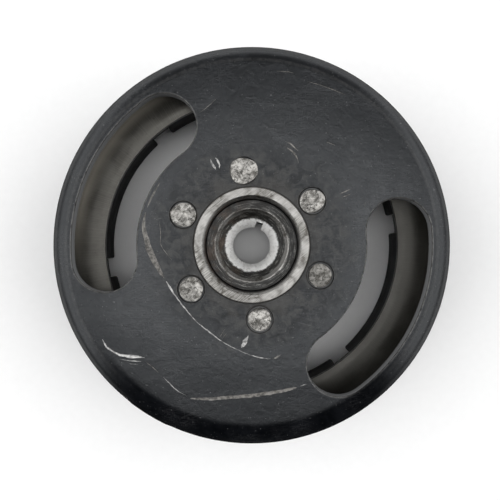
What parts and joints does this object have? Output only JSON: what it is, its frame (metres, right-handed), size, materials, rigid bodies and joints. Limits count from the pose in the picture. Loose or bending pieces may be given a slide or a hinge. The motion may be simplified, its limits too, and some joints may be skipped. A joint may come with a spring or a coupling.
{
  "type": "magneto flywheel",
  "caption": "Outer-rotor magneto flywheel: a dark steel cup with two kidney slots, riveted to a hub with a keyed taper, and arc magnets bonded inside its wall.",
  "frame": {"origin": "on the crank's axis, in the plane of the open rim that the part stands on", "axes": "+Z along the crank's axis from the open rim to the closed face and the hub's raised ring; the keyway lies at 70.2 degrees and the first slot at 156 degrees from +X, anticlockwise seen from +Z"},
  "size_m": [0.112, 0.112, 0.0425],
  "materials": {
    "shell_black_oxide": "satin dark slate oxide or thin black paint over steel, worn and scratched",
    "hub_steel": "turned steel, bright on the ring and taper, greasy and darkened in the recess",
    "rivet_steel": "hammered bare steel ends",
    "spacer_steel": "bare steel with a brown heat and oil film",
    "cage_resin": "moulded black resin",
    "ferrite": "ground black ferrite ceramic, matt"
  },
  "bodies": {
    "root": {"rotor_shell": "shell_black_oxide", "hub": "hub_steel", "rivet_1": "rivet_steel", "rivet_2": "rivet_steel", "rivet_3": "rivet_steel", "rivet_4": "rivet_steel", "rivet_5": "rivet_steel", "rivet_6": "rivet_steel", "magnet_spacer_ring": "spacer_steel", "magnet_cage": "cage_resin", "magnet_1": "ferrite", "magnet_2": "ferrite", "magnet_3": "ferrite", "magnet_4": "ferrite", "magnet_5": "ferrite", "magnet_6": "ferrite"}
  },
  "joints": []
}
